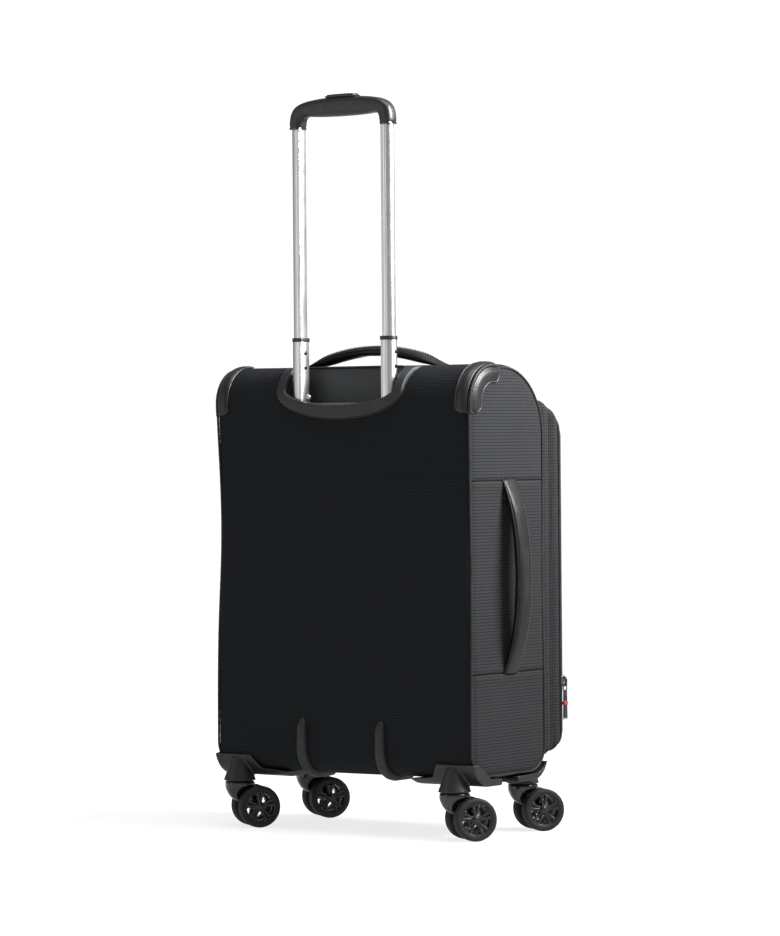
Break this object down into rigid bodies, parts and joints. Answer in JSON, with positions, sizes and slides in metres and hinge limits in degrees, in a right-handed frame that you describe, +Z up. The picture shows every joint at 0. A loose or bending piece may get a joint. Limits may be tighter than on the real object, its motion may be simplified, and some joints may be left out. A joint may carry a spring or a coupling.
{
  "type": "softside upright suitcase",
  "caption": "Softside cabin suitcase with a zipped lid, a two-stage trolley handle, carry handles and swivelling twin-wheel casters.",
  "frame": {"origin": "on the floor under the middle of the case, midway between the swivel axes", "axes": "+Z up, -Y towards the zipped lid, +Y towards the trolley side, X across the width"},
  "size_m": [0.401, 0.2207, 0.868],
  "materials": {
    "fabric_back": "ribbed polyester, dark charcoal",
    "fabric_side": "ribbed polyester, charcoal",
    "leather_trim": "smooth synthetic leather, satin",
    "plastic_matte": "moulded, fine grain",
    "plastic_gloss": "moulded, glossy",
    "grip_plastic": "moulded, satin",
    "wheel_plastic": "moulded, satin",
    "tyre_rubber": "matt polyurethane",
    "alloy_tube": "anodised, satin",
    "steel": "plain",
    "zip_metal": "dark nickel",
    "pull_plastic": "moulded",
    "lining": "plain woven lining",
    "webbing": "woven strap"
  },
  "bodies": {
    "case": {"back_panel": "fabric_back", "top_panel": "fabric_back", "bottom_panel": "fabric_back", "side_panel_left": "fabric_side", "side_panel_right": "fabric_side", "gusset": "fabric_side", "frame_strip": "steel", "back_board": "lining", "corner_guards": "leather_trim", "back_skids": "plastic_matte", "top_handle": "leather_trim", "side_handle": "leather_trim", "trolley_surround": "plastic_matte", "recess_cup": "plastic_matte", "outer_tubes": "alloy_tube", "trolley_base": "plastic_matte", "packing_straps": "webbing", "swivel_pins": "steel", "housing_rear_left": "plastic_matte", "housing_rear_right": "plastic_matte", "housing_front_left": "plastic_matte", "housing_front_right": "plastic_matte"},
    "lid": {"lid_tray": "fabric_side", "front_pocket": "fabric_side"},
    "main_slider": {"main_slider": "zip_metal"},
    "main_puller": {"main_puller": "pull_plastic"},
    "side_slider": {"side_slider": "zip_metal"},
    "side_puller": {"side_puller": "pull_plastic"},
    "front_slider": {"front_slider": "zip_metal"},
    "front_puller": {"front_puller": "pull_plastic"},
    "mid_stage": {"mid_tubes": "alloy_tube", "mid_collars": "plastic_matte"},
    "handle": {"inner_tubes": "alloy_tube", "grip_shell": "grip_plastic"},
    "button": {"release_button": "grip_plastic", "push_rods": "steel"},
    "caster_rear_left": {"fork_rear_left": "plastic_gloss", "axle_rear_left": "steel"},
    "wheel_rear_left_a": {"hub_rear_left_a": "wheel_plastic", "tyre_rear_left_a": "tyre_rubber"},
    "wheel_rear_left_b": {"hub_rear_left_b": "wheel_plastic", "tyre_rear_left_b": "tyre_rubber"},
    "caster_rear_right": {"fork_rear_right": "plastic_gloss", "axle_rear_right": "steel"},
    "wheel_rear_right_a": {"hub_rear_right_a": "wheel_plastic", "tyre_rear_right_a": "tyre_rubber"},
    "wheel_rear_right_b": {"hub_rear_right_b": "wheel_plastic", "tyre_rear_right_b": "tyre_rubber"},
    "caster_front_left": {"fork_front_left": "plastic_gloss", "axle_front_left": "steel"},
    "wheel_front_left_a": {"hub_front_left_a": "wheel_plastic", "tyre_front_left_a": "tyre_rubber"},
    "wheel_front_left_b": {"hub_front_left_b": "wheel_plastic", "tyre_front_left_b": "tyre_rubber"},
    "caster_front_right": {"fork_front_right": "plastic_gloss", "axle_front_right": "steel"},
    "wheel_front_right_a": {"hub_front_right_a": "wheel_plastic", "tyre_front_right_a": "tyre_rubber"},
    "wheel_front_right_b": {"hub_front_right_b": "wheel_plastic", "tyre_front_right_b": "tyre_rubber"}
  },
  "joints": [
    {"name": "lid_hinge", "type": "hinge", "parent": "case", "child": "lid", "pos_m": [0.181, -0.097, 0.3], "axis": [0, 0, 1], "range_deg": [0, 120]},
    {"name": "main_zip_slide", "type": "slide", "parent": "case", "child": "main_slider", "axis": [-1, 0, 0], "range_m": [0, 0.24]},
    {"name": "main_pull_turn", "type": "hinge", "parent": "main_slider", "child": "main_puller", "pos_m": [0.12, -0.1001, 0.5054], "axis": [0, 0.8387, 0.5446], "range_deg": [0, 165]},
    {"name": "side_zip_slide", "type": "slide", "parent": "lid", "child": "side_slider", "axis": [0, 0, 1], "range_m": [0, 0.25]},
    {"name": "side_pull_turn", "type": "hinge", "parent": "side_slider", "child": "side_puller", "pos_m": [-0.1864, -0.1175, 0.172], "axis": [0, 1, 0], "range_deg": [0, 165]},
    {"name": "front_zip_slide", "type": "slide", "parent": "lid", "child": "front_slider", "axis": [1, 0, 0], "range_m": [0, 0.18]},
    {"name": "front_pull_turn", "type": "hinge", "parent": "front_slider", "child": "front_puller", "pos_m": [-0.09, -0.1294, 0.38], "axis": [-1, 0, 0], "range_deg": [0, 165]},
    {"name": "mid_stage_slide", "type": "slide", "parent": "case", "child": "mid_stage", "axis": [0, 0, 1], "range_m": [-0.066, 0.15]},
    {"name": "handle_slide", "type": "slide", "parent": "mid_stage", "child": "handle", "axis": [0, 0, 1], "range_m": [-0.245, 0]},
    {"name": "button_press", "type": "slide", "parent": "handle", "child": "button", "axis": [0, 0, -1], "range_m": [0, 0.003], "stiffness_N_per_m": 1500, "springref_m": -0.002},
    {"name": "swivel_rear_left", "type": "hinge", "parent": "case", "child": "caster_rear_left", "pos_m": [-0.157, 0.07, 0.055], "axis": [0, 0, 1], "continuous": true},
    {"name": "spin_rear_left_a", "type": "hinge", "parent": "caster_rear_left", "child": "wheel_rear_left_a", "pos_m": [-0.16846, 0.05422, 0.025], "axis": [0.809, -0.5878, 0], "continuous": true},
    {"name": "spin_rear_left_b", "type": "hinge", "parent": "caster_rear_left", "child": "wheel_rear_left_b", "pos_m": [-0.16846, 0.05422, 0.025], "axis": [0.809, -0.5878, 0], "continuous": true},
    {"name": "swivel_rear_right", "type": "hinge", "parent": "case", "child": "caster_rear_right", "pos_m": [0.157, 0.07, 0.055], "axis": [0, 0, 1], "continuous": true},
    {"name": "spin_rear_right_a", "type": "hinge", "parent": "caster_rear_right", "child": "wheel_rear_right_a", "pos_m": [0.14554, 0.05422, 0.025], "axis": [0.809, -0.5878, 0], "continuous": true},
    {"name": "spin_rear_right_b", "type": "hinge", "parent": "caster_rear_right", "child": "wheel_rear_right_b", "pos_m": [0.14554, 0.05422, 0.025], "axis": [0.809, -0.5878, 0], "continuous": true},
    {"name": "swivel_front_left", "type": "hinge", "parent": "case", "child": "caster_front_left", "pos_m": [-0.157, -0.07, 0.055], "axis": [0, 0, 1], "continuous": true},
    {"name": "spin_front_left_a", "type": "hinge", "parent": "caster_front_left", "child": "wheel_front_left_a", "pos_m": [-0.16846, -0.08578, 0.025], "axis": [0.809, -0.5878, 0], "continuous": true},
    {"name": "spin_front_left_b", "type": "hinge", "parent": "caster_front_left", "child": "wheel_front_left_b", "pos_m": [-0.16846, -0.08578, 0.025], "axis": [0.809, -0.5878, 0], "continuous": true},
    {"name": "swivel_front_right", "type": "hinge", "parent": "case", "child": "caster_front_right", "pos_m": [0.157, -0.07, 0.055], "axis": [0, 0, 1], "continuous": true},
    {"name": "spin_front_right_a", "type": "hinge", "parent": "caster_front_right", "child": "wheel_front_right_a", "pos_m": [0.14554, -0.08578, 0.025], "axis": [0.809, -0.5878, 0], "continuous": true},
    {"name": "spin_front_right_b", "type": "hinge", "parent": "caster_front_right", "child": "wheel_front_right_b", "pos_m": [0.14554, -0.08578, 0.025], "axis": [0.809, -0.5878, 0], "continuous": true}
  ]
}
